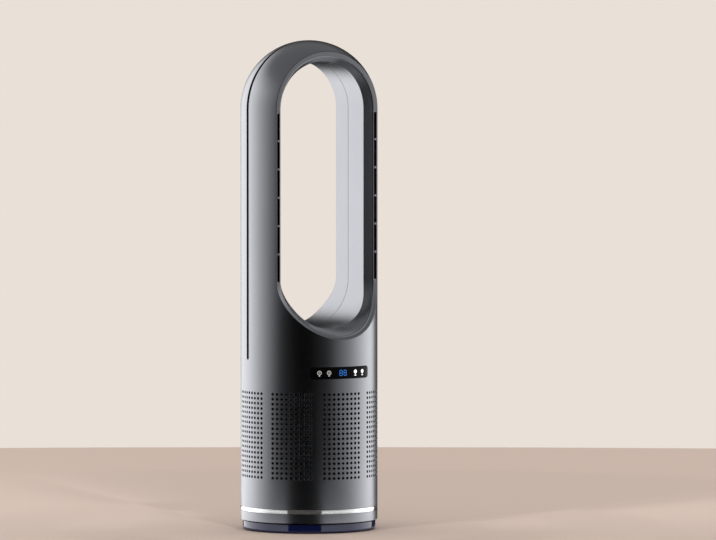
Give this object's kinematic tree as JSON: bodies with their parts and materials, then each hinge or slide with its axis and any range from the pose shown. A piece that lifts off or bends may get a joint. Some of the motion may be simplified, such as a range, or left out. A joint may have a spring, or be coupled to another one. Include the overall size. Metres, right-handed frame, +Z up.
{
  "type": "bladeless fan",
  "caption": "Capsule-shaped tower fan with a tall open loop that blows from side slots, a perforated intake and a low base it swivels on.",
  "frame": {"origin": "on the floor, under the middle of the round base", "axes": "+Z up; the front, with display and air slots, faces -Y; +X to the right, seen from the front"},
  "size_m": [0.168, 0.168, 0.6],
  "materials": {
    "graphite_paint": "metallic graphite paint, satin gloss",
    "trim_chrome": "bright plated ring",
    "display_lens": "gloss black lens with lit symbols",
    "base_indigo": "gloss dark blue moulding",
    "dark_plastic": "fine moulded texture",
    "grey_plastic": "moulded, slightly glossy",
    "white_plastic": "natural gear plastic",
    "rubber": "matte rubber",
    "steel": "turned and plated steel",
    "cast_iron": "cast, as made",
    "copper_winding": "lacquered winding",
    "circuit_board": "green solder mask",
    "filter_mesh": "fine woven mesh"
  },
  "bodies": {
    "base": {"foot_ring": "rubber", "base_shell": "base_indigo", "base_weight": "cast_iron", "swivel_spindle": "grey_plastic", "spindle_screw_1": "steel", "spindle_screw_2": "steel", "spindle_screw_3": "steel", "fixed_gear": "white_plastic", "swivel_glide_ring": "white_plastic", "spindle_washer": "steel", "spindle_clip": "steel"},
    "tower": {"tower_shell": "graphite_paint", "rear_loop_shell": "graphite_paint", "front_loop_liner": "graphite_paint", "rear_loop_liner": "graphite_paint", "trim_ring": "trim_chrome", "display_lens": "display_lens", "display_board": "circuit_board", "digit_display": "dark_plastic", "touch_spring_1": "steel", "touch_spring_2": "steel", "touch_spring_3": "steel", "touch_spring_4": "steel", "chassis_tray": "dark_plastic", "tray_screw_1": "steel", "tray_screw_2": "steel", "tray_screw_3": "steel", "tray_screw_4": "steel", "swivel_motor": "steel", "power_board": "circuit_board", "power_coil": "copper_winding", "power_inlet": "dark_plastic", "dust_filter": "filter_mesh", "bulkhead": "dark_plastic", "isolator_ring": "rubber", "impeller_duct": "dark_plastic", "bell_mouth": "dark_plastic", "motor_stator": "copper_winding", "lower_end_plate": "grey_plastic", "upper_end_plate": "grey_plastic", "lower_bearing": "steel", "upper_bearing": "steel"},
    "rotor": {"impeller": "grey_plastic", "motor_shaft": "steel", "rotor_magnet": "steel", "impeller_nut": "steel"},
    "pinion": {"drive_pinion": "white_plastic"}
  },
  "joints": [
    {"name": "tower_swivel", "type": "hinge", "parent": "base", "child": "tower", "pos_m": [0, 0, 0.0127], "axis": [0, 0, 1], "range_deg": [-40, 40]},
    {"name": "impeller_spin", "type": "hinge", "parent": "tower", "child": "rotor", "pos_m": [0, 0, 0.1], "axis": [0, 0, 1], "continuous": true},
    {"name": "pinion_spin", "type": "hinge", "parent": "tower", "child": "pinion", "pos_m": [0, 0.0376, 0.0143], "axis": [0, 0, 1], "range_deg": [-161, 161]}
  ],
  "couplings": [
    {"joint": "pinion_spin", "follows": "tower_swivel", "ratio": 4}
  ]
}
